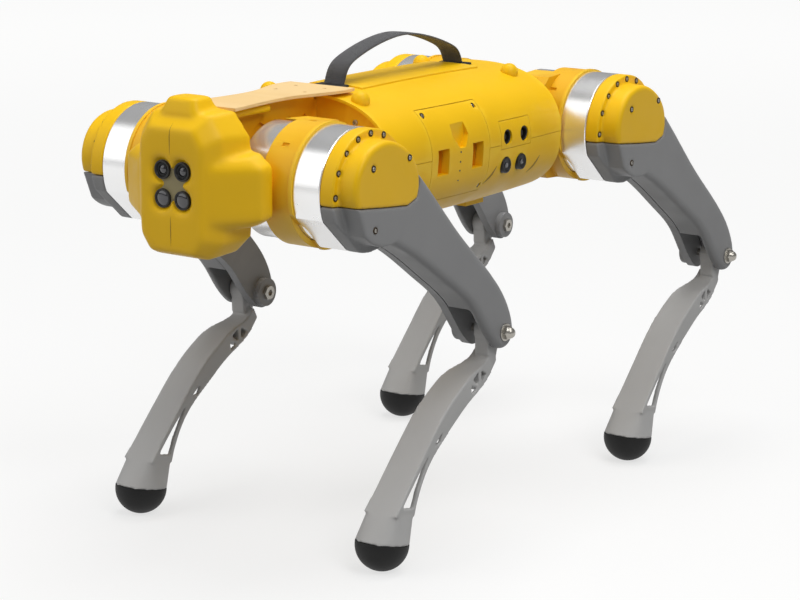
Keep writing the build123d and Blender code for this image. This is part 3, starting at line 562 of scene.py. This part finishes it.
def add_head(materials):
    """Softly rounded head casing with a short seam above and below the cameras."""
    casing = soften("head_casing", "head_shell", materials["yellow_shell"], "trunk",
                    HEAD_VOXEL, HEAD_ROUNDS)
    tree = surface_tree(casing)
    shape = bmesh.new()
    for start, end in HEAD_SEAMS:
        surface_seam(shape, tree, Vector((AHEAD, 0, start)), Vector((AHEAD, 0, end)), Vector((-1, 0, 0)),
                     HEAD_SEAM_HALF_WIDTH)
    finish_piece("head_seams", shape, materials["seam_shadow"], "trunk")


def add_flank_details(materials):
    """Slanting grooves and a row of vent holes, both drawn as dark marks of painted shade, and an inner tray
    behind each window, on both flanks.
    """
    lower, panels = (surface_tree(frame["nodes"][node]) for node in ("trunk_shell_lower", "side_panels"))
    grooves, vent_shades, trays = bmesh.new(), bmesh.new(), bmesh.new()
    square = Matrix.Diagonal((*WINDOW_SCALE, 1, 1)) @ Matrix.Rotation(math.radians(45), 4, "Z")
    for side in (1, -1):
        outward = Vector((0, side, 0))
        away = outward * BESIDE
        for x in GROOVE_XS:
            start = away + Vector((x + GROOVE_SLANT, 0, GROOVE_LOW))
            end = away + Vector((x - GROOVE_SLANT, 0, GROOVE_HIGH))
            surface_seam(grooves, lower, start, end, -outward, GROOVE_HALF_WIDTH)
        # each vent is a small dark disc of painted shade on the panel, not a cut hole
        for z in VENT_ZS:
            hit = panels.ray_cast(away + Vector((VENT_X, 0, z)), -outward)[0]
            turned(vent_shades, place(hit, outward), ((1.1, -1.0, 0), (1.1, 0.08, 0)), 16)
        for x in WINDOW_XS:
            turned(trays, place((x, side * TRAY_Y, WINDOW_Z), outward) @ square,
                   ((16.5, -8, 4), (16.5, 0, 4), (14.3, 0, 4), (14.3, -6.5, 4)), 8)
    finish_piece("flank_grooves", grooves, materials["seam_shadow"], "trunk")
    finish_piece("flank_vent_shades", vent_shades, materials["dark_plastic"], "trunk")
    finish_piece("window_trays", trays, materials["orange_frame"], "trunk")


def add_cameras(materials):
    """Two ringed cameras above two plain dark windows, each with a domed glass."""
    low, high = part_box("camera_lenses")
    y_out, z_low, z_high = high.y - 0.009, low.z + 0.009, high.z - 0.009
    small_dome = ((4.1, 0.2, 0), (3.9, 1.0, 0), (3.1, 1.6, 0), (1.8, 2.0, 0), (0.3, 2.1, 0))
    wide_dome = ((7.2, 0.6, 0), (7.1, 2.0, 0), (5.4, 2.5, 0), (3.0, 2.8, 0), (0.4, 2.9, 0))
    rings, glasses = bmesh.new(), bmesh.new()
    for y in (-y_out, y_out):
        for z in (z_low, z_high):
            matrix = place((low.x, y, z), (1, 0, 0))
            turned(rings, matrix, ((9, -1.0, 0), (9, 2.6, 0), (8.6, 3.0, 0), (7.6, 3.0, 0), (7.1, 2.4, 0),
                                   (6.6, 0.9, 0), (5.6, 0.9, 0), (5.3, 1.6, 0), (4.7, 1.6, 0),
                                   (4.3, 0.4, 0), (3.9, 0.4, 0)))
            turned(glasses, matrix, small_dome if z == z_high else wide_dome)
    piece = finish_piece("camera_rings", rings, materials["dark_plastic"], "trunk")
    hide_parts("camera_lenses")
    finish_piece("camera_domes", glasses, materials["camera_glass"], "trunk")


def add_sockets(materials):
    """Black round connectors inside the two sockets."""
    shape = bmesh.new()
    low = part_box("connector_panel")[0]
    for x in SOCKET_XS:
        matrix = place((x, low.y + 0.0062, SOCKET_Z), (0, 1, 0))
        turned(shape, matrix, ((7.9, -3, 0), (7.9, 9.6, 0), (7.5, 10.2, 0), (6.6, 10.2, 0), (6.2, 9.6, 0),
                               (6.2, 1, 0), (3.4, 1, 0), (3.4, 7.4, 0), (2.9, 8, 0), (0.4, 8, 0)))
    finish_piece("socket_inserts", shape, materials["dark_plastic"], "trunk")


def add_button_caps(materials):
    """Dished cap with a raised rim on each button."""
    for name in ("power_button", "motor_button"):
        low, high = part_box(name)
        shape = bmesh.new()
        matrix = place(((low.x + high.x) / 2, low.y, (low.z + high.z) / 2), (0, 1, 0))
        depth = (high.y - low.y) * 1000
        turned(shape, matrix, ((8.4, 0, 0), (8.4, depth - 1, 0), (8.1, depth - 0.3, 0), (7.5, depth, 0),
                               (6.6, depth, 0), (6.1, depth - 0.8, 0), (3, depth - 1.3, 0),
                               (0.4, depth - 1.4, 0)))
        piece = finish_piece(name + "_cap", shape, materials["button_plastic"], name)
        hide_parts(name)
        centre = bmesh.new()
        turned(centre, matrix, ((3, depth - 3, 0), (3, depth - 0.9, 0), (2.4, depth - 0.4, 0),
                                (0.3, depth - 0.2, 0)))
        finish_piece(name + "_centre", centre, materials["camera_glass"], name)


materials = make_materials()
finish_nodes(materials)
add_camera()
add_floor()
add_studio()
add_leg_fasteners(materials)
add_trunk_screws(materials)
add_strap(materials)
add_strap_feet(materials)
add_leg_castings(materials)
add_head(materials)
add_flank_details(materials)
add_cameras(materials)
add_sockets(materials)
add_button_caps(materials)
bpy.context.scene.view_settings.view_transform = "Standard"
